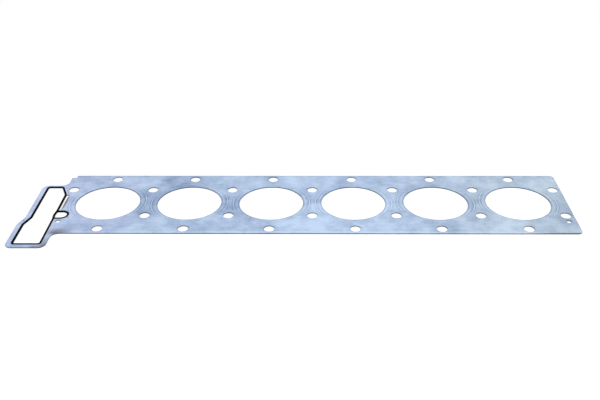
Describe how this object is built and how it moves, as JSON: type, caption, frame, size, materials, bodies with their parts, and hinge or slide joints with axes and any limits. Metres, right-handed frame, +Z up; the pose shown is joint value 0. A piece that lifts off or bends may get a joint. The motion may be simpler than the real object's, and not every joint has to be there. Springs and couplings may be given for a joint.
{
  "type": "cylinder head gasket",
  "caption": "Long flat steel head gasket for an in-line engine, with round cylinder bores, head bolt holes and a timing window edged by a moulded rubber seal.",
  "frame": {"origin": "on the face that lies on the engine block, in the middle of the cylinder row", "axes": "+X along the cylinder row, away from the timing window; +Y across the sheet; +Z up, from the block to the head"},
  "size_m": [1.102, 0.2825, 0.0028],
  "materials": {
    "sheet_steel": "satin pale steel with a faint blue cast and soft cloudy rolling marks",
    "seal_rubber": "matt black moulded rubber"
  },
  "bodies": {
    "root": {"gasket_plate": "sheet_steel", "timing_seal": "seal_rubber"}
  },
  "joints": []
}
